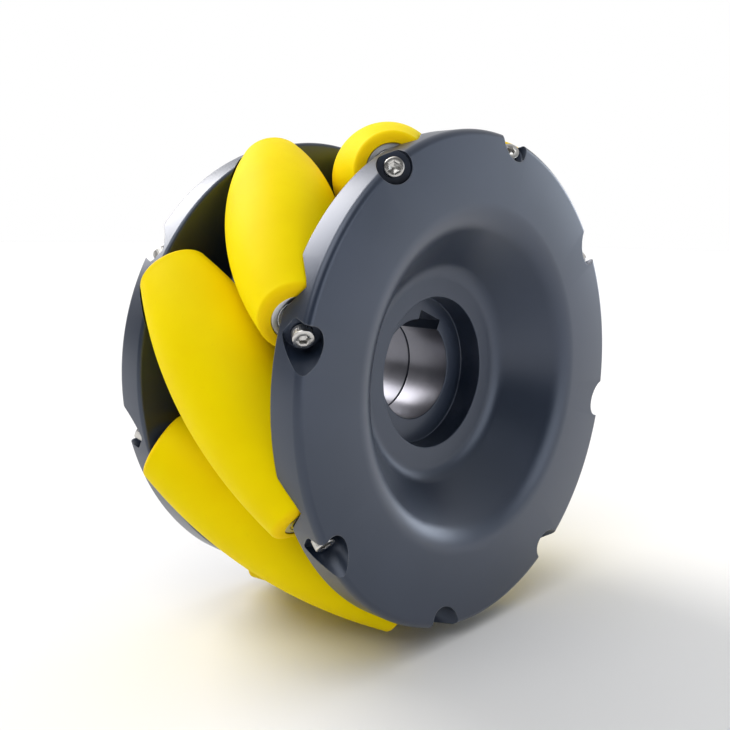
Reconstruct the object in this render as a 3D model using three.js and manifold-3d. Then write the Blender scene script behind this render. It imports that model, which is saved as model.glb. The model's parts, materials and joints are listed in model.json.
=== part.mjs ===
// A mecanum wheel: two dished side plates that carry eight barrel rollers at 45 degrees.
// Millimetres. The wheel turns about Y, its outer side faces -Y, and +Z is up.
// The origin is the middle of the wheel, on its axis.

import * as THREE from 'three';
import { mergeVertices } from 'three/addons/utils/BufferGeometryUtils.js';
import Module from 'manifold-3d';

const manifold = await Module();
manifold.setup();

// ---- Driving dimensions ----

const wheelRadius = 76.2;
const rollerCount = 8;
const rollerTilt = Math.PI / 4;
const gap = 0.3;
const bisectionRounds = 30;
const mergeDistance = 1e-4;

const plate = {
  radius: 72.1,
  halfWidth: 39.2,
  rimThickness: 10.6,
  edgeChamfer: 1.2,
  segments: 40,
};

const dish = {
  outerRadius: 51.6,
  shoulderRadius: 10.8,
  footRadius: 7.2,
  slope: THREE.MathUtils.degToRad(50),
  depth: 17.6,
  wall: 8,
  shoulderSteps: 3,
  footSteps: 2,
};

const hub = {
  boreRadius: 15.5,
  counterboreRadius: 23,
  counterboreDepth: 7.7,
  edgeChamfer: 0.5,
  outerRadius: 33,
  meeting: 2.2,
  keyWidth: 10,
  keyDepth: 2.4,
  keyAngle: THREE.MathUtils.degToRad(67.5),
};

const roller = {
  axisRadius: 59.4,
  halfLength: 42.6,
  lipRound: 1.8,
  runningGap: 0.7,
  segments: 16,
  treadSteps: 6,
  roomSteps: 3,
};

const bearing = { boreRadius: 2.7, outerRadius: 5.5, width: 5, segments: 12 };
const core = { halfLength: 42.3, coneRadius: 7.1, barrelRadius: 11, boreRadius: 4.2, segments: 12 };
const axle = {
  radius: 2.5,
  shoulderRadius: 3.3,
  halfLength: 42.4,
  threadRadius: 1.8,
  threadDepth: 9,
  segments: 8,
};
const screw = {
  shankRadius: 1.5,
  headRadius: 2.75,
  headHeight: 3,
  headChamfer: 0.3,
  socketAcrossFlats: 2.5,
  socketDepth: 1.6,
  shankLength: 12,
  segments: 8,
};
const room = { floor: 43.3, floorRadius: 10.3, bossRadius: 3.6, bossFace: 42.7 };
const screwPocket = { holeRadius: 2, radius: 4.8, seat: 47.5, end: 61.5 };
const rollerEndSegments = 14;

// ---- Materials ----

const anodised = { color: 0x3c4046, roughness: 0.45, metalness: 0.6 };
const urethane = { color: 0xf2d600, roughness: 0.55, metalness: 0 };
const aluminium = { color: 0xb9bcc0, roughness: 0.35, metalness: 1 };
const bearingSteel = { color: 0xc8cacd, roughness: 0.25, metalness: 1 };
const axleSteel = { color: 0x9a9da1, roughness: 0.3, metalness: 1 };
const stainless = { color: 0xd4d5d6, roughness: 0.3, metalness: 1 };

function addPart(parent, name, geometry, finish) {
  const mesh = new THREE.Mesh(geometry, new THREE.MeshStandardMaterial(finish));
  mesh.name = name;
  parent.add(mesh);
  return mesh;
}

// ---- Solids ----

function point(radius, along) {
  return new THREE.Vector2(radius, along);
}

function revolve(profile, segments) {
  return new THREE.LatheGeometry(profile, segments);
}

function toSolid(geometry, matrix = new THREE.Matrix4()) {
  const shape = geometry.clone().applyMatrix4(matrix);
  shape.deleteAttribute('normal');
  shape.deleteAttribute('uv');
  const merged = mergeVertices(shape, mergeDistance);
  const mesh = new manifold.Mesh({
    numProp: 3,
    vertProperties: new Float32Array(merged.attributes.position.array),
    triVerts: new Uint32Array(merged.index.array),
  });
  return new manifold.Manifold(mesh);
}

function toGeometry(solid) {
  const mesh = solid.getMesh();
  const geometry = new THREE.BufferGeometry();
  geometry.setAttribute('position', new THREE.BufferAttribute(mesh.vertProperties, 3));
  geometry.setIndex(new THREE.BufferAttribute(mesh.triVerts, 1));
  geometry.computeVertexNormals();
  return geometry;
}

// An arc of a profile, as points that turn from one angle to another about a centre.
function arc(centre, radius, fromAngle, toAngle, steps) {
  const points = [];
  for (let step = 0; step <= steps; step += 1) {
    const angle = fromAngle + ((toAngle - fromAngle) * step) / steps;
    points.push(point(centre.x + radius * Math.cos(angle), centre.y + radius * Math.sin(angle)));
  }
  return points;
}

// ---- Where the rollers sit ----

// A roller's own frame: local X points out from the wheel's axis, and local Y runs along
// the roller's axis, towards the wheel's inner side.
function rollerMatrix(index) {
  const angle = (index * 2 * Math.PI) / rollerCount;
  const station = new THREE.Matrix4().makeRotationY(-angle);
  const offset = new THREE.Matrix4().makeTranslation(roller.axisRadius, 0, 0);
  const tilt = new THREE.Matrix4().makeRotationX(-rollerTilt);
  return station.multiply(offset).multiply(tilt);
}

function rollerFrame(index) {
  const frame = new THREE.Group();
  rollerMatrix(index).decompose(frame.position, frame.quaternion, frame.scale);
  return frame;
}

// ---- The roller's barrel: the shape that keeps the wheel round as it rolls ----

// A sphere centred on the roller's axis, at a distance of travel from its middle, touches the
// wheel's envelope. The barrel is the skin around all of those spheres.
function barrelPoint(travel) {
  const sideways = travel * Math.sin(rollerTilt);
  const axisDistance = Math.hypot(roller.axisRadius, sideways);
  const sphere = wheelRadius - axisDistance;
  const lean = (sideways * Math.sin(rollerTilt)) / axisDistance;
  return point(sphere * Math.sqrt(1 - lean * lean), travel + sphere * lean);
}

// The travel whose barrel point lies a given distance along the roller, by bisection.
function travelAt(along) {
  let low = -roller.halfLength;
  let high = roller.halfLength;
  for (let round = 0; round < bisectionRounds; round += 1) {
    const middle = (low + high) / 2;
    if (barrelPoint(middle).y < along) low = middle;
    else high = middle;
  }
  return low;
}

function barrelRadius(along) {
  return barrelPoint(travelAt(along)).x;
}

function barrelProfile(from, to, steps, offset) {
  const points = [];
  for (let step = 0; step <= steps; step += 1) {
    const along = from + ((to - from) * step) / steps;
    points.push(point(barrelRadius(along) + offset, along));
  }
  return points;
}

// ---- Roller pieces, each in the roller's own frame ----

// The core's outside: cones at both ends and a plain barrel between them.
function coreOutside(growth) {
  const end = core.halfLength;
  const coneFoot = end / 2;
  return [
    point(core.coneRadius + growth, -end),
    point(core.barrelRadius + growth, -coneFoot),
    point(core.barrelRadius + growth, coneFoot),
    point(core.coneRadius + growth, end),
  ];
}

function treadGeometry() {
  const end = roller.halfLength;
  const shoulder = end - roller.lipRound;
  const lipRadius = barrelRadius(end) - roller.lipRound;
  const outside = barrelProfile(-shoulder, shoulder, roller.treadSteps, 0);
  const [lowEnd, lowFoot, highFoot, highEnd] = coreOutside(gap);
  const profile = [
    point(lowEnd.x, -end),
    point(lipRadius, -end),
    ...outside,
    point(lipRadius, end),
    point(highEnd.x, end),
    highFoot,
    lowFoot,
    point(lowEnd.x, -end),
  ];
  return revolve(profile, roller.segments);
}

function coreGeometry() {
  const end = core.halfLength;
  const seatRadius = bearing.outerRadius + gap;
  const seatFloor = end - bearing.width - 2 * gap;
  const bore = [
    point(seatRadius, end),
    point(seatRadius, seatFloor),
    point(core.boreRadius, seatFloor),
    point(core.boreRadius, -seatFloor),
    point(seatRadius, -seatFloor),
    point(seatRadius, -end),
  ];
  const outside = coreOutside(0);
  return revolve([...outside, ...bore, outside[0].clone()], core.segments);
}

// Along the roller, from the inner face of a bearing to its outer one.
const bearingOuterFace = core.halfLength - gap / 3;
const bearingInnerFace = bearingOuterFace - bearing.width;

function bearingGeometry(side) {
  const low = Math.min(side * bearingInnerFace, side * bearingOuterFace);
  const high = low + bearing.width;
  const profile = [
    point(bearing.boreRadius, low),
    point(bearing.outerRadius, low),
    point(bearing.outerRadius, high),
    point(bearing.boreRadius, high),
    point(bearing.boreRadius, low),
  ];
  return revolve(profile, bearing.segments);
}

function axleHalf(side) {
  const end = side * axle.halfLength;
  const threadEnd = side * (axle.halfLength - axle.threadDepth);
  const shoulder = side * (bearingInnerFace - gap);
  return [
    point(0, threadEnd),
    point(axle.threadRadius, threadEnd),
    point(axle.threadRadius, end),
    point(axle.radius, end),
    point(axle.radius, shoulder),
    point(axle.shoulderRadius, shoulder),
  ];
}

function axleGeometry() {
  return revolve([...axleHalf(-1), ...axleHalf(1).reverse()], axle.segments);
}

// The screw stands on its seat at the outer end of the roller's axis, along local +Y.
function screwSolid() {
  const seat = screwPocket.seat + gap;
  const top = seat + screw.headHeight;
  const tip = seat - screw.shankLength;
  const profile = [
    point(0, tip),
    point(screw.shankRadius, tip),
    point(screw.shankRadius, seat),
    point(screw.headRadius, seat),
    point(screw.headRadius, top - screw.headChamfer),
    point(screw.headRadius - screw.headChamfer, top),
    point(0, top),
  ];
  const socketRadius = screw.socketAcrossFlats / Math.sqrt(3);
  const socketHeight = 2 * screw.socketDepth;
  const socket = new THREE.CylinderGeometry(socketRadius, socketRadius, socketHeight, 6);
  const atTop = new THREE.Matrix4().makeTranslation(0, top, 0);
  return toSolid(revolve(profile, screw.segments)).subtract(toSolid(socket, atTop));
}

// ---- The side plates, both made as the outer one, with the face at -Y ----
// Their hubs meet a little beyond the wheel's middle, so one hub is longer than the other.

// The S-shaped run of the dish, from the flat face down to the hub's face: a rounded
// shoulder, then a rounded foot, with a straight slope between them.
function dishArcs() {
  const face = -plate.halfWidth;
  const hubFace = face + dish.depth;
  const quarter = Math.PI / 2;
  const shoulderCentre = point(dish.outerRadius, face + dish.shoulderRadius);
  const shoulderEnd = -quarter - dish.slope;
  const shoulder = arc(shoulderCentre, dish.shoulderRadius, -quarter, shoulderEnd, dish.shoulderSteps);
  const arcs = dish.shoulderRadius + dish.footRadius;
  const slopeLength = (dish.depth - arcs * (1 - Math.cos(dish.slope))) / Math.sin(dish.slope);
  const run = arcs * Math.sin(dish.slope) + slopeLength * Math.cos(dish.slope);
  const footCentre = point(dish.outerRadius - run, hubFace - dish.footRadius);
  const foot = arc(footCentre, dish.footRadius, quarter - dish.slope, quarter, dish.footSteps);
  return { shoulder, foot };
}

// The dish's inner side runs parallel to its slope, one wall's thickness behind it.
function innerProfile(hubEnd) {
  const { shoulder, foot } = dishArcs();
  const slopeTop = shoulder.at(-1);
  const slopeFoot = foot[0];
  const behind = point(dish.wall * Math.sin(dish.slope), dish.wall * Math.cos(dish.slope));
  const rimBack = plate.rimThickness - plate.halfWidth;
  const lower = slopeFoot.clone().add(behind);
  const direction = slopeTop.clone().sub(slopeFoot).normalize();
  const toRim = (rimBack - lower.y) / direction.y;
  const upper = lower.clone().addScaledVector(direction, toRim);
  const hubRoot = lower.y / 2;
  return [upper, lower, point(hub.outerRadius, hubRoot), point(hub.outerRadius, hubEnd)];
}

function plateProfile(hubEnd) {
  const face = -plate.halfWidth;
  const hubFace = face + dish.depth;
  const floor = hubFace + hub.counterboreDepth;
  const rimBack = face + plate.rimThickness;
  const { shoulder, foot } = dishArcs();
  return [
    point(hub.boreRadius, floor),
    point(hub.counterboreRadius, floor),
    point(hub.counterboreRadius, hubFace + hub.edgeChamfer),
    point(hub.counterboreRadius + hub.edgeChamfer, hubFace),
    ...foot.reverse(),
    ...shoulder.reverse(),
    point(plate.radius - plate.edgeChamfer, face),
    point(plate.radius, face + plate.edgeChamfer),
    point(plate.radius, rimBack - plate.edgeChamfer),
    point(plate.radius - plate.edgeChamfer, rimBack),
    ...innerProfile(hubEnd),
    point(hub.boreRadius, hubEnd),
    point(hub.boreRadius, floor),
  ];
}

// What one roller end takes out of the plate, along local -Y: room for the roller, which
// leaves a small boss against the bearing, a screw hole, and a pocket for the screw's head.
function rollerEndCutter() {
  const shoulder = roller.halfLength - roller.lipRound;
  const outline = [
    point(0, -screwPocket.end),
    point(screwPocket.radius, -screwPocket.end),
    point(screwPocket.radius, -screwPocket.seat),
    point(screwPocket.holeRadius, -screwPocket.seat),
    point(screwPocket.holeRadius, -room.bossFace),
    point(room.bossRadius, -room.bossFace),
    point(room.bossRadius, -room.floor),
    point(room.floorRadius, -room.floor),
    ...barrelProfile(-shoulder, 0, roller.roomSteps, roller.runningGap),
    point(0, 0),
  ];
  return toSolid(revolve(outline, rollerEndSegments));
}

function keywayCutter() {
  const reach = hub.boreRadius + hub.keyDepth;
  const box = new THREE.BoxGeometry(reach, 2 * plate.halfWidth, hub.keyWidth);
  const turn = new THREE.Matrix4().makeRotationY(-hub.keyAngle);
  const out = new THREE.Matrix4().makeTranslation(reach / 2, 0, 0);
  return toSolid(box, turn.multiply(out));
}

function plateSolid(hubEnd) {
  let solid = toSolid(revolve(plateProfile(hubEnd), plate.segments)).subtract(keywayCutter());
  const cutter = rollerEndCutter();
  for (let index = 0; index < rollerCount; index += 1) {
    solid = solid.subtract(cutter.transform(rollerMatrix(index).elements));
  }
  return solid;
}

// ---- Assembly ----

// The inner plate is made like the outer one and turned over about the keyway's direction.
function addPlates(wheel) {
  const outer = toGeometry(plateSolid(hub.meeting - gap / 2));
  const inner = toGeometry(plateSolid(-hub.meeting - gap / 2));
  addPart(wheel, 'outer_plate', outer, anodised);
  const turned = addPart(wheel, 'inner_plate', inner, anodised);
  const keyDirection = new THREE.Vector3(Math.cos(hub.keyAngle), 0, Math.sin(hub.keyAngle));
  turned.setRotationFromAxisAngle(keyDirection, Math.PI);
}

function addRollers(wheel) {
  const tread = treadGeometry();
  const sleeve = coreGeometry();
  const shaft = axleGeometry();
  const fastener = toGeometry(screwSolid());
  for (let index = 0; index < rollerCount; index += 1) {
    const frame = rollerFrame(index);
    const number = index + 1;
    addPart(frame, `roller_tread_${number}`, tread, urethane);
    addPart(frame, `roller_core_${number}`, sleeve, aluminium);
    addPart(frame, `outer_bearing_${number}`, bearingGeometry(-1), bearingSteel);
    addPart(frame, `inner_bearing_${number}`, bearingGeometry(1), bearingSteel);
    addPart(frame, `roller_axle_${number}`, shaft, axleSteel);
    addPart(frame, `inner_screw_${number}`, fastener, stainless);
    const outerScrew = addPart(frame, `outer_screw_${number}`, fastener, stainless);
    outerScrew.rotation.x = Math.PI;
    wheel.add(frame);
  }
}

function makeWheel() {
  const wheel = new THREE.Group();
  addPlates(wheel);
  addRollers(wheel);
  return wheel;
}

export default makeWheel();
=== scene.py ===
"""The looks of a mecanum wheel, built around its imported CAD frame.

Metres, in the frame of the part: the wheel turns about Y, its outer side faces -Y, +Z is up.
"""
import json
import math

import bmesh
import bpy
from mathutils import Matrix, Vector


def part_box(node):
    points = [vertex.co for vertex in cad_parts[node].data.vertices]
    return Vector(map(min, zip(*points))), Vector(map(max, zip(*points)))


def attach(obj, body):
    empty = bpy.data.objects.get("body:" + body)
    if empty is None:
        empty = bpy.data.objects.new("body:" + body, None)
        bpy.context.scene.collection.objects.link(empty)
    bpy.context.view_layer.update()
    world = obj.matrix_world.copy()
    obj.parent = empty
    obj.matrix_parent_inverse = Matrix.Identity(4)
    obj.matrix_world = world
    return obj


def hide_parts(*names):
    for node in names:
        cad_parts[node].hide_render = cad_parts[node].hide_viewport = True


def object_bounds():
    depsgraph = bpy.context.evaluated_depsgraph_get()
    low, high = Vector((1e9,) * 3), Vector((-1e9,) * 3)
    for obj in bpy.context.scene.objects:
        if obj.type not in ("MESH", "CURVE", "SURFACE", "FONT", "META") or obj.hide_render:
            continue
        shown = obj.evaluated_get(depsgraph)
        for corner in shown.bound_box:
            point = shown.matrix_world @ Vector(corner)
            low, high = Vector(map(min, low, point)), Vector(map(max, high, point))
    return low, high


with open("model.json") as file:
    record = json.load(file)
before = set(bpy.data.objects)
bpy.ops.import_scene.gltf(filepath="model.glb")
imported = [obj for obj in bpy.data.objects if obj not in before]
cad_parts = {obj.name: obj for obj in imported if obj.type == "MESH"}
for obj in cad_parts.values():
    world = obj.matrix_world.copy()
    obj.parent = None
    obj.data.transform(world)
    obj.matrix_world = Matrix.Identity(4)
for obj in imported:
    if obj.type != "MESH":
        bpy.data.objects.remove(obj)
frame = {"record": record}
cad_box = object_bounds()

# ---- Driving dimensions ----

MM = 0.001

WHEEL_RADIUS = cad_box[1][0]
HALF_WIDTH = cad_box[1][1]
PLATE_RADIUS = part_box("outer_plate")[1][0]
OUTER_HUB_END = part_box("outer_plate")[1][1]
INNER_HUB_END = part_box("inner_plate")[0][1]
JOINTS = [j for j in frame["record"]["behaviour"]["joints"] if j["child"].startswith("roller")]
AXIS_RADIUS = Vector(JOINTS[0]["pos_m"]).length
TILT = math.radians(45)

RIM_THICKNESS = 10.6 * MM
FACE_ROUND = 2.0 * MM
RIM_BACK_ROUND = 1.2 * MM
FACE_INNER_EDGE = 51.6 * MM
DISH_SHOULDER = 10.8 * MM
DISH_FOOT = 7.2 * MM
DISH_SLOPE = math.radians(50)
DISH_DEPTH = 17.6 * MM
DISH_WALL = 8.0 * MM
DISH_BACK_ROUND = 2.0 * MM
WEB_ROOT_STEP = 7.3 * MM
HUB_ROOT_ROUND = 3.0 * MM

BORE_RADIUS = 15.5 * MM
COUNTERBORE_RADIUS = 23.0 * MM
COUNTERBORE_DEPTH = 7.7 * MM
HUB_RADIUS = 33.0 * MM
KEY_WIDTH = 10.0 * MM
KEY_DEPTH = 2.4 * MM
KEY_ANGLE = math.radians(67.5)
EDGE_BREAK = 0.35 * MM

TREAD_HALF_LENGTH = 42.6 * MM
LIP_ROUND = 1.8 * MM
RUNNING_GAP = 0.7 * MM
CORE_HALF_LENGTH = 42.3 * MM
CORE_END_RADIUS = 7.1 * MM
CORE_BARREL_RADIUS = 11.0 * MM
CORE_BORE_RADIUS = 4.2 * MM
BEARING_BORE_RADIUS = 2.55 * MM
BEARING_RADIUS = 5.5 * MM
BEARING_WIDTH = 5.0 * MM
BEARING_OUTER_FACE = 42.2 * MM
BEARING_INNER_RING = 0.95 * MM
BEARING_OUTER_RING = 0.85 * MM
BEARING_EDGE = 0.18 * MM
SEAL_RECESS = 0.25 * MM
SEAL_CLEARANCE = 0.06 * MM
AXLE_RADIUS = 2.5 * MM
AXLE_SHOULDER_RADIUS = 3.3 * MM
AXLE_HALF_LENGTH = 42.4 * MM
THREAD_RADIUS = 1.8 * MM
THREAD_DEPTH = 9.0 * MM

ROOM_FLOOR = 43.3 * MM
ROOM_FLOOR_RADIUS = 10.3 * MM
BOSS_RADIUS = 3.6 * MM
BOSS_FACE = 42.7 * MM
SCREW_HOLE_RADIUS = 2.0 * MM
SCREW_SEAT = 47.5 * MM
SCREW_POCKET_RADIUS = 4.8 * MM
SCREW_POCKET_END = 61.5 * MM
GAP = 0.3 * MM

SEAM = 0.05 * MM
MERGE_DISTANCE = 1e-5 * MM
ON_AXIS = 1e-4 * MM

PLATE_SEGMENTS = 288
TREAD_SEGMENTS = 96
SMALL_SEGMENTS = 48
TREAD_STEPS = 56
LIP_STEPS = 6
ROOM_STEPS = 16
ARC_STEP = math.radians(8)
BISECTION_ROUNDS = 40
SHARP_ANGLE = 30
PLATE_SHARP_ANGLE = 25
SCREW_SHARP_ANGLE = 35

OWN_COORDINATES = "own_coordinates"

# ---- Profiles: lists of (radius, along) points ----


def rounded(corners):
    """A closed outline of (radius, along, rounding) corners, as points with each corner an arc."""
    points = []
    count = len(corners)
    for index, (x, y, rounding) in enumerate(corners):
        here = Vector((x, y))
        if rounding <= 0:
            points.append(here)
            continue
        before = (Vector(corners[index - 1][:2]) - here).normalized()
        after = (Vector(corners[(index + 1) % count][:2]) - here).normalized()
        half_angle = before.angle(after) / 2
        tangent = rounding / math.tan(half_angle)
        centre = here + (before + after).normalized() * (rounding / math.sin(half_angle))
        start = here + before * tangent - centre
        turn = math.pi - 2 * half_angle
        side = 1 if before.cross(after) < 0 else -1
        steps = max(2, math.ceil(turn / ARC_STEP))
        for step in range(steps + 1):
            angle = side * turn * step / steps
            points.append(centre + Matrix.Rotation(angle, 2) @ start)
    return points


def barrel_point(travel):
    """Where a sphere, centred this far along the roller and touching the wheel's envelope, meets the skin."""
    sideways = travel * math.sin(TILT)
    axis_distance = math.hypot(AXIS_RADIUS, sideways)
    sphere = WHEEL_RADIUS - axis_distance
    lean = sideways * math.sin(TILT) / axis_distance
    return Vector((sphere * math.sqrt(1 - lean * lean), travel + sphere * lean))


def barrel_radius(along):
    """The roller's radius at a distance from its middle, by bisection on the travel."""
    low, high = -TREAD_HALF_LENGTH, TREAD_HALF_LENGTH
    for _ in range(BISECTION_ROUNDS):
        middle = (low + high) / 2
        if barrel_point(middle).y < along:
            low = middle
        else:
            high = middle
    return barrel_point(low).x


def barrel(start, end, steps, offset):
    alongs = [start + (end - start) * step / steps for step in range(steps + 1)]
    return [Vector((barrel_radius(along) + offset, along)) for along in alongs]


# ---- Meshes ----


def revolve(outline, segments, name="outline"):
    """A closed mesh: an outline, closed or with both its ends on the axis, turned about local Y."""
    mesh = bmesh.new()
    rings = []
    for radius, along in outline:
        if radius < ON_AXIS:
            rings.append([mesh.verts.new((0, along, 0))])
            continue
        ring = []
        for index in range(segments):
            angle = 2 * math.pi * index / segments
            ring.append(mesh.verts.new((radius * math.cos(angle), along, radius * math.sin(angle))))
        rings.append(ring)
    closed = len(rings[0]) > 1
    pairs = list(zip(rings, rings[1:]))
    if closed:
        pairs.append((rings[-1], rings[0]))
    for first, second in pairs:
        join_rings(mesh, first, second)
    bmesh.ops.remove_doubles(mesh, verts=mesh.verts, dist=MERGE_DISTANCE)
    bmesh.ops.recalc_face_normals(mesh, faces=mesh.faces)
    data = bpy.data.meshes.new(name)
    mesh.to_mesh(data)
    mesh.free()
    return data


def join_rings(mesh, first, second):
    """Faces between two rings, where one of them may be a single point on the axis."""
    count = max(len(first), len(second))
    for index in range(count):
        following = (index + 1) % count
        corners = [first[index % len(first)]]
        if len(first) > 1:
            corners.append(first[following])
        if len(second) > 1:
            corners.append(second[following])
        corners.append(second[index % len(second)])
        if len(corners) > 2:
            mesh.faces.new(corners)


def joined(meshes, name):
    """One mesh out of several, each given with its matrix and its material slot."""
    result = bmesh.new()
    for data, matrix, material_index in meshes:
        start = len(result.faces)
        piece = data.copy()
        piece.transform(matrix)
        result.from_mesh(piece)
        result.faces.ensure_lookup_table()
        for face in result.faces[start:]:
            face.material_index = material_index
        bpy.data.meshes.remove(piece)
    joined_data = bpy.data.meshes.new(name)
    result.to_mesh(joined_data)
    result.free()
    return joined_data


def cut(data, cutter_data, name):
    """The first mesh with the second one cut out of it."""
    body = bpy.data.objects.new(name, data)
    cutter = bpy.data.objects.new(name + "_cutter", cutter_data)
    bpy.context.scene.collection.objects.link(body)
    bpy.context.scene.collection.objects.link(cutter)
    modifier = body.modifiers.new("cut", "BOOLEAN")
    modifier.operation = "DIFFERENCE"
    modifier.solver = "EXACT"
    modifier.object = cutter
    graph = bpy.context.evaluated_depsgraph_get()
    result = bpy.data.meshes.new_from_object(body.evaluated_get(graph))
    bpy.data.objects.remove(body)
    bpy.data.objects.remove(cutter)
    return result


def smooth(data, angle=SHARP_ANGLE):
    data.shade_smooth()
    data.set_sharp_from_angle(angle=math.radians(angle))


def keep_own_coordinates(data):
    """Store every point's place in the piece's own frame, where the materials look for it."""
    places = [0.0] * (3 * len(data.vertices))
    data.vertices.foreach_get("co", places)
    data.attributes.new(OWN_COORDINATES, "FLOAT_VECTOR", "POINT").data.foreach_set("vector", places)


def place(shape, name, materials, body, node, matrix):
    """A piece of the wheel, with its place in its mesh: it rides on a body and stands for one CAD node."""
    data = shape.copy()
    for material in materials:
        data.materials.append(material)
    keep_own_coordinates(data)
    data.transform(matrix)
    piece = bpy.data.objects.new(name, data)
    bpy.context.scene.collection.objects.link(piece)
    bpy.context.view_layer.update()
    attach(piece, body)
    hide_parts(node)


# ---- Material helpers ----

MIX_FACTOR = 0
MIX_FIRST_COLOUR = 6
MIX_SECOND_COLOUR = 7
MIX_COLOUR = 2


class Shader:
    """A material with short ways to add its nodes."""

    def __init__(self, name):
        self.material = bpy.data.materials.new(name)
        self.material.use_nodes = True
        self.tree = self.material.node_tree
        self.principled = self.tree.nodes["Principled BSDF"]
        self.coordinates = self.add("ShaderNodeAttribute", attribute_name=OWN_COORDINATES).outputs["Vector"]

    def add(self, kind, inputs=None, **settings):
        node = self.tree.nodes.new(kind)
        for key, value in settings.items():
            setattr(node, key, value)
        for key, value in (inputs or {}).items():
            self.feed(node.inputs[key], value)
        return node

    def feed(self, socket, value):
        if isinstance(value, bpy.types.NodeSocket):
            self.tree.links.new(value, socket)
        else:
            socket.default_value = value

    def set(self, **inputs):
        for key, value in inputs.items():
            self.feed(self.principled.inputs[key.replace("_", " ").title().replace("Ior", "IOR")], value)

    def noise(self, scale, detail=3.0, roughness=0.5):
        inputs = {
            "Vector": self.coordinates,
            "Scale": scale,
            "Detail": detail,
            "Roughness": roughness,
        }
        return self.add("ShaderNodeTexNoise", inputs).outputs["Fac"]

    def remap(self, value, low, high, to_low=0.0, to_high=1.0):
        inputs = {
            "Value": value,
            "From Min": low,
            "From Max": high,
            "To Min": to_low,
            "To Max": to_high,
        }
        return self.add("ShaderNodeMapRange", inputs).outputs["Result"]

    def math(self, operation, first, second=0.5):
        return self.add("ShaderNodeMath", {0: first, 1: second}, operation=operation).outputs[0]

    def blend(self, factor, first, second):
        node = self.add("ShaderNodeMix", data_type="RGBA")
        self.feed(node.inputs[MIX_FACTOR], factor)
        self.feed(node.inputs[MIX_FIRST_COLOUR], first)
        self.feed(node.inputs[MIX_SECOND_COLOUR], second)
        return node.outputs[MIX_COLOUR]

    def bump(self, height, distance, strength=1.0, normal=None):
        inputs = {"Height": height, "Distance": distance, "Strength": strength}
        if normal is not None:
            inputs["Normal"] = normal
        return self.add("ShaderNodeBump", inputs).outputs["Normal"]

    def soft_edges(self, radius):
        return self.add("ShaderNodeBevel", {"Radius": radius}, samples=4).outputs["Normal"]

    def edge_mask(self, softened, low=0.8, high=0.99):
        """One on sharp edges and none on flat ground: how far the softened normal leans from the true one."""
        true_normal = self.add("ShaderNodeNewGeometry").outputs["Normal"]
        inputs = {0: softened, 1: true_normal}
        lean = self.add("ShaderNodeVectorMath", inputs, operation="DOT_PRODUCT").outputs["Value"]
        return self.remap(lean, high, low)

    def axis_distance(self):
        """The distance from local Y."""
        inputs = {0: self.coordinates, 1: (1.0, 0.0, 1.0)}
        flat = self.add("ShaderNodeVectorMath", inputs, operation="MULTIPLY").outputs["Vector"]
        return self.add("ShaderNodeVectorMath", {0: flat}, operation="LENGTH").outputs["Value"]

    def turning_marks(self, pitch):
        """Fine lathe marks: rings along local Y on round faces, and rings about it on flat ones."""
        along = self.add("ShaderNodeSeparateXYZ", {0: self.coordinates}).outputs["Y"]
        spiral = self.math("ADD", along, self.axis_distance())
        wander = self.math("MULTIPLY", self.noise(900.0), pitch)
        phase = self.math("DIVIDE", self.math("ADD", spiral, wander), pitch)
        turns = self.math("MULTIPLY", phase, 2 * math.pi)
        return self.math("SINE", turns)


def colour(red, green, blue):
    return (red, green, blue, 1.0)


# ---- Materials ----


def anodised_aluminium():
    """Blasted and black anodised: a cool dark grey with fine grain, paler on the edges, partly as rubbed wear
    and partly as a painted highlight along the thin edge lines.
    """
    shader = Shader("black_anodised")
    clouds = shader.noise(28.0, detail=4.0)
    grain = shader.noise(5200.0, detail=2.0)
    edge_breakup = shader.noise(240.0, detail=5.0, roughness=0.65)
    tone = shader.remap(clouds, 0.35, 0.65)
    base = shader.blend(tone, colour(0.016, 0.028, 0.055), colour(0.023, 0.036, 0.068))
    softened = shader.soft_edges(0.35 * MM)
    # Paler edges: partly rubbed wear, partly a painted highlight along the thin edge lines.
    edges = shader.math("MULTIPLY", shader.edge_mask(softened), shader.remap(edge_breakup, 0.35, 0.7))
    wear_and_painted_highlight = shader.math("MULTIPLY", edges, 0.55)
    shader.set(
        base_color=shader.blend(wear_and_painted_highlight, base, colour(0.34, 0.35, 0.37)),
        metallic=0.6,
        roughness=shader.remap(shader.math("ADD", clouds, grain), 0.6, 1.4, 0.36, 0.48),
        coat_weight=0.6,
        coat_roughness=0.32,
        coat_ior=1.62,
        normal=shader.bump(grain, 0.012 * MM, 0.5, softened),
    )
    return shader.material


def bare_bore():
    """The bore is finished after anodising: bare metal with fine boring marks."""
    shader = Shader("bored_metal")
    stains = shader.noise(90.0, detail=4.0)
    marks = shader.turning_marks(0.22 * MM)
    patches = shader.remap(stains, 0.3, 0.7)
    shader.set(
        base_color=shader.blend(patches, colour(0.15, 0.152, 0.175), colour(0.20, 0.20, 0.225)),
        metallic=1.0,
        roughness=shader.remap(stains, 0.3, 0.7, 0.28, 0.36),
        normal=shader.bump(marks, 0.0006 * MM, 0.4),
    )
    return shader.material


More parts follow.
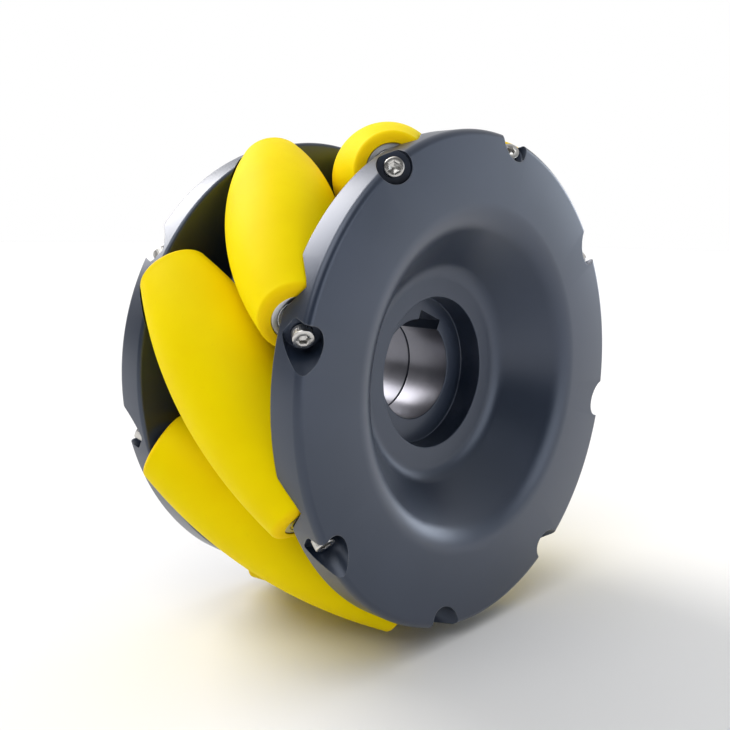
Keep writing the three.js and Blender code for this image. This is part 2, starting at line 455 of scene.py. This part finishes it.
def cast_urethane():
    """Cast polyurethane: a strong yellow with a faint skin texture, and painted shade: a deeper orange
    towards the ends.
    """
    shader = Shader("yellow_urethane")
    tone = shader.noise(45.0, detail=3.0)
    skin = shader.noise(1500.0, detail=4.0, roughness=0.6)
    specks = shader.noise(420.0, detail=6.0, roughness=0.7)
    scuffs = shader.math("MULTIPLY", shader.remap(specks, 0.62, 0.74), 0.25)
    along = shader.add("ShaderNodeSeparateXYZ", {0: shader.coordinates}).outputs["Y"]
    # Painted shade: the tread turns a deeper orange towards its ends.
    painted_end_shade = shader.remap(shader.math("ABSOLUTE", along), TREAD_HALF_LENGTH - LIP_ROUND, TREAD_HALF_LENGTH)
    body = shader.blend(shader.remap(tone, 0.3, 0.7), colour(0.86, 0.66, 0.0), colour(0.91, 0.72, 0.0))
    scuffed = shader.blend(scuffs, body, colour(0.72, 0.50, 0.01))
    shader.set(
        base_color=shader.blend(shader.math("MULTIPLY", painted_end_shade, 0.4), scuffed, colour(0.86, 0.42, 0.01)),
        roughness=shader.remap(skin, 0.3, 0.7, 0.46, 0.58),
        specular_ior_level=0.03,
        subsurface_weight=0.12,
        normal=shader.bump(skin, 0.02 * MM, 0.35),
    )
    shader.principled.inputs["Subsurface Radius"].default_value = (1.0, 0.55, 0.05)
    shader.principled.inputs["Subsurface Scale"].default_value = 2.5 * MM
    return shader.material


def turned_metal(name, tint, rough, pitch):
    """Turned or ground metal with fine ring marks."""
    shader = Shader(name)
    stains = shader.noise(160.0, detail=4.0)
    dark = tuple(channel * 0.86 for channel in tint)
    softened = shader.soft_edges(0.12 * MM)
    shader.set(
        base_color=shader.blend(shader.remap(stains, 0.3, 0.7), colour(*dark), colour(*tint)),
        metallic=1.0,
        roughness=shader.remap(stains, 0.3, 0.7, rough * 0.85, rough * 1.2),
        normal=shader.bump(shader.turning_marks(pitch), 0.002 * MM, 0.5, softened),
    )
    return shader.material


def seal_rubber():
    """A bearing's black rubber seal."""
    shader = Shader("seal_rubber")
    skin = shader.noise(2400.0, detail=3.0)
    shader.set(
        base_color=shader.blend(skin, colour(0.010, 0.010, 0.011), colour(0.020, 0.020, 0.022)),
        roughness=shader.remap(skin, 0.3, 0.7, 0.5, 0.7),
        normal=shader.bump(skin, 0.01 * MM, 0.5),
    )
    return shader.material


def floor_paint():
    shader = Shader("pale_floor")
    tone = shader.noise(3.0)
    shader.set(
        base_color=shader.blend(tone, colour(0.80, 0.80, 0.80), colour(0.83, 0.83, 0.83)),
        roughness=0.9,
    )
    return shader.material


# ---- The side plates ----


def plate_outline(hub_end):
    """The outer plate's section, from the bore's mouth out over the dish and back along the inner side."""
    face = -HALF_WIDTH
    hub_face = face + DISH_DEPTH
    floor = hub_face + COUNTERBORE_DEPTH
    rim_back = face + RIM_THICKNESS
    shoulder = FACE_INNER_EDGE - DISH_SHOULDER * math.tan(DISH_SLOPE / 2)
    foot = shoulder - DISH_DEPTH / math.tan(DISH_SLOPE)
    behind = DISH_WALL / math.sin(DISH_SLOPE)
    inner_top = shoulder + behind - RIM_THICKNESS / math.tan(DISH_SLOPE)
    inner_low = foot + WEB_ROOT_STEP
    inner_low_along = rim_back + (inner_top - inner_low) * math.tan(DISH_SLOPE)
    return rounded([
        (BORE_RADIUS, floor, EDGE_BREAK),
        (COUNTERBORE_RADIUS, floor, EDGE_BREAK),
        (COUNTERBORE_RADIUS, hub_face, EDGE_BREAK),
        (foot, hub_face, DISH_FOOT),
        (shoulder, face, DISH_SHOULDER),
        (PLATE_RADIUS, face, FACE_ROUND),
        (PLATE_RADIUS, rim_back, RIM_BACK_ROUND),
        (inner_top, rim_back, DISH_BACK_ROUND),
        (inner_low, inner_low_along, HUB_ROOT_ROUND),
        (HUB_RADIUS, inner_low_along / 2, HUB_ROOT_ROUND),
        (HUB_RADIUS, hub_end, EDGE_BREAK),
        (BORE_RADIUS, hub_end, EDGE_BREAK),
    ])


def roller_end_outline():
    """What one roller end takes out of a plate, from the roller's room out to the screw's pocket."""
    shoulder = TREAD_HALF_LENGTH - LIP_ROUND
    room = barrel(0, shoulder, ROOM_STEPS, RUNNING_GAP)
    inside = [
        (ROOM_FLOOR_RADIUS, ROOM_FLOOR),
        (BOSS_RADIUS, ROOM_FLOOR),
        (BOSS_RADIUS, BOSS_FACE),
        (SCREW_HOLE_RADIUS, BOSS_FACE),
        (SCREW_HOLE_RADIUS, SCREW_SEAT),
        (SCREW_POCKET_RADIUS - EDGE_BREAK, SCREW_SEAT),
        (SCREW_POCKET_RADIUS, SCREW_SEAT + EDGE_BREAK),
        (SCREW_POCKET_RADIUS, SCREW_POCKET_END),
        (0, SCREW_POCKET_END),
    ]
    outline = [Vector((0, 0))] + room + [Vector(point) for point in inside]
    return [Vector((radius, -along)) for radius, along in outline]


def keyway_cutter():
    reach = BORE_RADIUS + KEY_DEPTH
    mesh = bmesh.new()
    bmesh.ops.create_cube(mesh, size=1)
    size = Matrix.Diagonal((reach, 3 * HALF_WIDTH, KEY_WIDTH, 1))
    out = Matrix.Translation((reach / 2, 0, 0))
    bmesh.ops.transform(mesh, matrix=Matrix.Rotation(-KEY_ANGLE, 4, "Y") @ out @ size, verts=mesh.verts)
    data = bpy.data.meshes.new("keyway")
    mesh.to_mesh(data)
    mesh.free()
    return data


def bare_the_bore(data):
    """The bore's own wall is bare metal, and everything else on the plate is anodised."""
    for polygon in data.polygons:
        centre = polygon.center
        away = math.hypot(centre.x, centre.z)
        round_wall = abs(polygon.normal.y) < 0.5 and away < BORE_RADIUS + SEAM
        if round_wall:
            polygon.material_index = 1


def plate_mesh(hub_end, roller_matrices):
    blank = revolve(plate_outline(hub_end), PLATE_SEGMENTS, "plate")
    end = revolve(roller_end_outline(), SMALL_SEGMENTS, "roller_end")
    cutters = [(end, matrix, 0) for matrix in roller_matrices]
    cutters.append((keyway_cutter(), Matrix(), 0))
    data = cut(blank, joined(cutters, "cutters"), "plate")
    bare_the_bore(data)
    smooth(data, PLATE_SHARP_ANGLE)
    return data


def add_plates(finishes, roller_matrices):
    """Both plates are made as the outer one; the inner one is turned over about the keyway's direction."""
    outer = plate_mesh(OUTER_HUB_END, roller_matrices)
    inner = plate_mesh(-INNER_HUB_END, roller_matrices)
    key_direction = Vector((math.cos(KEY_ANGLE), 0, math.sin(KEY_ANGLE)))
    turned_over = Matrix.Rotation(math.pi, 4, key_direction)
    materials = [finishes["plate"], finishes["bore"]]
    place(outer, "side_plate_outer", materials, "wheel", "outer_plate", Matrix())
    place(inner, "side_plate_inner", materials, "wheel", "inner_plate", turned_over)


# ---- The rollers ----


def roller_matrix(joint):
    """A roller's own frame: X out from the wheel's axis, and Y along the roller, towards the inner side."""
    position = Vector(joint["pos_m"])
    out = position.normalized()
    along = Vector(joint["axis"]).normalized()
    across = out.cross(along)
    turn = Matrix((out, along, across)).transposed().to_4x4()
    return Matrix.Translation(position) @ turn


def core_outside():
    """The core's outside: cones at both ends and a plain barrel between them."""
    foot = CORE_HALF_LENGTH / 2
    return [
        (CORE_END_RADIUS, -CORE_HALF_LENGTH),
        (CORE_BARREL_RADIUS, -foot),
        (CORE_BARREL_RADIUS, foot),
        (CORE_END_RADIUS, CORE_HALF_LENGTH),
    ]


def tread_mesh():
    end = TREAD_HALF_LENGTH
    shoulder = end - LIP_ROUND
    lip = barrel_radius(end) - LIP_ROUND
    outside = barrel(-shoulder, shoulder, TREAD_STEPS, 0)
    lip_top = outside[-1].x
    high_lip = []
    for step in range(1, LIP_STEPS + 1):
        angle = math.pi / 2 * step / LIP_STEPS
        radius = lip + (lip_top - lip) * math.cos(angle)
        high_lip.append(Vector((radius, shoulder + LIP_ROUND * math.sin(angle))))
    low_lip = [Vector((radius, -along)) for radius, along in reversed(high_lip)]
    inside = [Vector((radius + SEAM, along)) for radius, along in reversed(core_outside())]
    inside[0].y = end
    inside[-1].y = -end
    data = revolve(low_lip + outside + high_lip + inside, TREAD_SEGMENTS, "tread")
    smooth(data)
    return data


def core_mesh():
    end = CORE_HALF_LENGTH
    seat = BEARING_RADIUS + SEAM
    seat_floor = end - BEARING_WIDTH - 2 * GAP
    low, low_foot, high_foot, high = core_outside()
    outline = rounded([
        (*low, EDGE_BREAK),
        (*low_foot, 0),
        (*high_foot, 0),
        (*high, EDGE_BREAK),
        (seat, end, EDGE_BREAK / 2),
        (seat, seat_floor, 0),
        (CORE_BORE_RADIUS, seat_floor, 0),
        (CORE_BORE_RADIUS, -seat_floor, 0),
        (seat, -seat_floor, 0),
        (seat, -end, EDGE_BREAK / 2),
    ])
    data = revolve(outline, TREAD_SEGMENTS, "core")
    smooth(data)
    return data


def ring_mesh(inner, outer, low, high):
    outline = rounded([
        (inner, low, BEARING_EDGE),
        (outer, low, BEARING_EDGE),
        (outer, high, BEARING_EDGE),
        (inner, high, BEARING_EDGE),
    ])
    return revolve(outline, SMALL_SEGMENTS, "ring")


def bearing_mesh(side):
    """A sealed ball bearing: an outer ring, an inner ring and a seal set back between them."""
    face = side * BEARING_OUTER_FACE
    back = side * (BEARING_OUTER_FACE - BEARING_WIDTH)
    low, high = min(face, back), max(face, back)
    inner_ring = BEARING_BORE_RADIUS + BEARING_INNER_RING
    outer_ring = BEARING_RADIUS - BEARING_OUTER_RING
    seal_inside = inner_ring + SEAL_CLEARANCE
    seal_outside = outer_ring - SEAL_CLEARANCE
    inside = ring_mesh(BEARING_BORE_RADIUS, inner_ring, low, high)
    outside = ring_mesh(outer_ring, BEARING_RADIUS, low, high)
    seal = ring_mesh(seal_inside, seal_outside, low + SEAL_RECESS, high - SEAL_RECESS)
    data = joined([(inside, Matrix(), 0), (outside, Matrix(), 0), (seal, Matrix(), 1)], "bearing")
    smooth(data)
    return data


def axle_mesh():
    end = AXLE_HALF_LENGTH
    thread_end = end - THREAD_DEPTH
    shoulder = BEARING_OUTER_FACE - BEARING_WIDTH - GAP
    drill_point = thread_end - THREAD_RADIUS / 2
    half = [
        Vector((0, drill_point)),
        Vector((THREAD_RADIUS, thread_end)),
        Vector((THREAD_RADIUS, end - EDGE_BREAK)),
        Vector((THREAD_RADIUS + EDGE_BREAK, end)),
        Vector((AXLE_RADIUS - EDGE_BREAK, end)),
        Vector((AXLE_RADIUS, end - EDGE_BREAK)),
        Vector((AXLE_RADIUS, shoulder)),
        Vector((AXLE_SHOULDER_RADIUS, shoulder)),
    ]
    other = [Vector((radius, -along)) for radius, along in reversed(half)]
    data = revolve(half + other, SMALL_SEGMENTS, "axle")
    smooth(data)
    return data


# ---- The socket head cap screws ----

SCREW_SHANK_RADIUS = 1.5 * MM
SCREW_SHANK_LENGTH = 12.0 * MM
SCREW_HEAD_RADIUS = 2.75 * MM
SCREW_HEAD_HEIGHT = 3.0 * MM
SOCKET_ACROSS_FLATS = 2.5 * MM
SCREW_HEAD_CHAMFER = 0.3 * MM
SCREW_TIP_TAPER = 0.4 * MM
SOCKET_DEPTH = 1.6 * MM
SOCKET_CHAMFER = 0.12 * MM
SOCKET_FLOOR_RADIUS = 0.5 * MM
SOCKET_FLOOR_STEP = 0.3 * MM
SOCKET_POINT = 0.5 * MM
KNURLS = 32
KNURL_DEPTH = 0.09 * MM
SCREW_THREAD_PITCH = 0.5 * MM
SCREW_THREAD_DEPTH = 0.28 * MM


def ring_at(mesh, along, radius_at, segments):
    ring = []
    for index in range(segments):
        angle = 2 * math.pi * index / segments
        radius = radius_at(angle)
        ring.append(mesh.verts.new((radius * math.cos(angle), along, radius * math.sin(angle))))
    return ring


def hexagon(angle):
    """A hexagon's radius at an angle."""
    sector = math.pi / 3
    return SOCKET_ACROSS_FLATS / 2 / math.cos(angle % sector - sector / 2)


def knurl(depth):
    return lambda angle: SCREW_HEAD_RADIUS - depth * (1 - abs(math.cos(KNURLS / 2 * angle)))


def plain(radius):
    return lambda angle: radius


def thread_rings(tip, end):
    """Thread roots and crests as rings, from the tip up towards the head."""
    rings = []
    turns = int((end - tip) / SCREW_THREAD_PITCH)
    for turn in range(turns):
        start = tip + turn * SCREW_THREAD_PITCH
        rings.append((start + 0.1 * SCREW_THREAD_PITCH, plain(SCREW_SHANK_RADIUS - SCREW_THREAD_DEPTH)))
        rings.append((start + 0.55 * SCREW_THREAD_PITCH, plain(SCREW_SHANK_RADIUS)))
    return rings


def screw_rings(tip, seat, top):
    """The screw's outline as (along, radius at an angle) rings: shank, knurled head and hexagon socket."""
    chamfer = SCREW_HEAD_CHAMFER
    socket_floor = top - SOCKET_DEPTH
    socket_mouth = SOCKET_ACROSS_FLATS / math.sqrt(3) + SOCKET_CHAMFER
    return [
        (tip, plain(SCREW_SHANK_RADIUS - SCREW_TIP_TAPER)),
        *thread_rings(tip, seat - 2 * SCREW_THREAD_PITCH),
        (seat - SCREW_THREAD_PITCH, plain(SCREW_SHANK_RADIUS)),
        (seat, plain(SCREW_SHANK_RADIUS)),
        (seat, plain(SCREW_HEAD_RADIUS - chamfer)),
        (seat + chamfer / 2, knurl(0)),
        (seat + chamfer, knurl(KNURL_DEPTH)),
        (top - 2 * chamfer, knurl(KNURL_DEPTH)),
        (top - 1.6 * chamfer, knurl(0)),
        (top - chamfer, knurl(0)),
        (top - chamfer / 3, plain(SCREW_HEAD_RADIUS - chamfer / 3)),
        (top, plain(SCREW_HEAD_RADIUS - chamfer)),
        (top, plain(socket_mouth)),
        (top - SOCKET_CHAMFER, hexagon),
        (socket_floor, hexagon),
        (socket_floor - SOCKET_FLOOR_STEP, plain(SOCKET_FLOOR_RADIUS)),
    ]


def screw_mesh():
    """A screw standing on its seat, with its head towards local +Y."""
    segments = 6 * KNURLS
    seat = SCREW_SEAT + GAP
    top = seat + SCREW_HEAD_HEIGHT
    tip = seat - SCREW_SHANK_LENGTH
    mesh = bmesh.new()
    made = [[mesh.verts.new((0, tip, 0))]]
    for along, radius_at in screw_rings(tip, seat, top):
        made.append(ring_at(mesh, along, radius_at, segments))
    made.append([mesh.verts.new((0, top - SOCKET_DEPTH - SOCKET_POINT, 0))])
    for first, second in zip(made, made[1:]):
        join_rings(mesh, first, second)
    bmesh.ops.recalc_face_normals(mesh, faces=mesh.faces)
    data = bpy.data.meshes.new("screw")
    mesh.to_mesh(data)
    mesh.free()
    smooth(data, SCREW_SHARP_ANGLE)
    return data


def add_rollers(finishes, roller_matrices):
    tread = tread_mesh()
    core = core_mesh()
    axle = axle_mesh()
    screw = screw_mesh()
    bearings = {"outer": bearing_mesh(-1), "inner": bearing_mesh(1)}
    facing = {"outer": Matrix.Rotation(math.pi, 4, "X"), "inner": Matrix()}
    for number, matrix in enumerate(roller_matrices, start=1):
        body = f"roller_{number}"
        spinning = {"tread": tread, "core": core}
        for kind, shape in spinning.items():
            place(shape, f"{kind}_{number}", [finishes[kind]], body, f"roller_{kind}_{number}", matrix)
        place(axle, f"axle_{number}", [finishes["axle"]], "wheel", f"roller_axle_{number}", matrix)
        for side, turn in facing.items():
            bearing = bearings[side]
            steels = [finishes["bearing"], finishes["seal"]]
            node = f"{side}_bearing_{number}"
            place(bearing, f"bearing_{side}_{number}", steels, body, node, matrix)
            node = f"{side}_screw_{number}"
            steels = [finishes["screw"]]
            place(screw, f"screw_{side}_{number}", steels, "wheel", node, matrix @ turn)


# ---- Stage ----

CAMERA_AZIMUTH = math.radians(-46.30)
CAMERA_ELEVATION = math.radians(5.47)
CAMERA_DISTANCE = 286.65 * MM
CAMERA_LEFT = 5.72 * MM
CAMERA_UP = 19.15 * MM
CAMERA_LENS = 43.84
CAMERA_SENSOR = 36.0
CAMERA_SHIFT_UP = -0.0825
CAMERA_TURN_ABOUT_WHEEL = math.radians(-1.0)
FLOOR_HALF_SIZE = 6.0

WORLD_BRIGHT_SIDE = (0.55, 0.42, 0.72)
WORLD_LIGHT_LOW = 0.04
WORLD_LIGHT_HIGH = 0.85
WORLD_FADE_START = -0.25
LIGHTS = [
    ("back_top", (-0.08, 0.79, 0.60), 36, 2.35, (1.0, 0.97, 0.95)),
    ("left_top", (-0.58, -0.12, 0.80), 50, 1.25, (1.0, 1.0, 1.0)),
    ("front", (0.22, -0.95, 0.08), 40, 0.75, (0.90, 0.95, 1.0)),
    ("right_side", (0.98, -0.18, 0.04), 34, 1.1, (0.82, 0.90, 1.0)),
]


def camera_axes():
    """Right, up and back, for a camera that looks at the wheel from its azimuth and elevation."""
    flat = math.cos(CAMERA_ELEVATION)
    back = Vector((
        math.sin(CAMERA_AZIMUTH) * flat,
        -math.cos(CAMERA_AZIMUTH) * flat,
        math.sin(CAMERA_ELEVATION),
    ))
    right = Vector((math.cos(CAMERA_AZIMUTH), math.sin(CAMERA_AZIMUTH), 0))
    return right, back.cross(right), back


def add_camera():
    right, up, back = camera_axes()
    data = bpy.data.cameras.new("camera")
    data.lens = CAMERA_LENS
    data.sensor_width = CAMERA_SENSOR
    data.shift_y = CAMERA_SHIFT_UP
    camera = bpy.data.objects.new("camera", data)
    bpy.context.scene.collection.objects.link(camera)
    turn = Matrix((right, up, back)).transposed().to_4x4()
    position = back * CAMERA_DISTANCE - right * CAMERA_LEFT + up * CAMERA_UP
    about_wheel = Matrix.Rotation(CAMERA_TURN_ABOUT_WHEEL, 4, "Y")
    camera.matrix_world = about_wheel @ Matrix.Translation(position) @ turn
    bpy.context.scene.camera = camera


def add_far_softbox(name, direction, spread, strength, tint):
    """A large soft light so far away that it lights the whole floor evenly."""
    data = bpy.data.lights.new(name, "SUN")
    data.angle = math.radians(spread)
    data.energy = strength
    data.color = tint
    light = bpy.data.objects.new(name, data)
    bpy.context.scene.collection.objects.link(light)
    light.matrix_world = Vector(direction).to_track_quat("Z", "Y").to_matrix().to_4x4()


def add_world():
    """White where the camera sees it. As a light it is dimmer, and fades towards the lower left front."""
    world = bpy.data.worlds.new("studio")
    world.use_nodes = True
    tree = world.node_tree
    direction = tree.nodes.new("ShaderNodeTexCoord")
    facing = tree.nodes.new("ShaderNodeVectorMath")
    facing.operation = "DOT_PRODUCT"
    facing.inputs[1].default_value = Vector(WORLD_BRIGHT_SIDE).normalized()
    fade = tree.nodes.new("ShaderNodeMapRange")
    fade.inputs["From Min"].default_value = WORLD_FADE_START
    fade.inputs["To Min"].default_value = WORLD_LIGHT_LOW
    fade.inputs["To Max"].default_value = WORLD_LIGHT_HIGH
    seen = tree.nodes.new("ShaderNodeLightPath")
    strength = tree.nodes.new("ShaderNodeMix")
    strength.inputs["B"].default_value = 1.0
    tree.links.new(direction.outputs["Generated"], facing.inputs[0])
    tree.links.new(facing.outputs["Value"], fade.inputs["Value"])
    tree.links.new(seen.outputs["Is Camera Ray"], strength.inputs["Factor"])
    tree.links.new(fade.outputs["Result"], strength.inputs["A"])
    tree.links.new(strength.outputs["Result"], tree.nodes["Background"].inputs["Strength"])
    tree.nodes["Background"].inputs["Color"].default_value = colour(1.0, 1.0, 1.0)
    bpy.context.scene.world = world


def add_lights():
    for light in LIGHTS:
        add_far_softbox(*light)
    add_world()
    bpy.context.scene.view_settings.view_transform = "Standard"


def add_floor():
    mesh = bmesh.new()
    bmesh.ops.create_grid(mesh, x_segments=1, y_segments=1, size=FLOOR_HALF_SIZE)
    data = bpy.data.meshes.new("floor")
    mesh.to_mesh(data)
    mesh.free()
    keep_own_coordinates(data)
    data.materials.append(floor_paint())
    floor = bpy.data.objects.new("floor", data)
    bpy.context.scene.collection.objects.link(floor)
    floor.location.z = cad_box[0][2]


# ---- The scene ----


def make_finishes():
    return {
        "plate": anodised_aluminium(),
        "bore": bare_bore(),
        "tread": cast_urethane(),
        "core": turned_metal("turned_aluminium", (0.66, 0.67, 0.69), 0.32, 0.15 * MM),
        "bearing": turned_metal("bearing_steel", (0.60, 0.61, 0.63), 0.2, 0.1 * MM),
        "axle": turned_metal("axle_steel", (0.45, 0.46, 0.48), 0.25, 0.12 * MM),
        "screw": turned_metal("stainless_steel", (0.62, 0.61, 0.59), 0.26, 0.1 * MM),
        "seal": seal_rubber(),
    }


def main():
    finishes = make_finishes()
    roller_matrices = [roller_matrix(joint) for joint in JOINTS]
    add_plates(finishes, roller_matrices)
    add_rollers(finishes, roller_matrices)
    add_floor()
    add_lights()
    add_camera()


main()
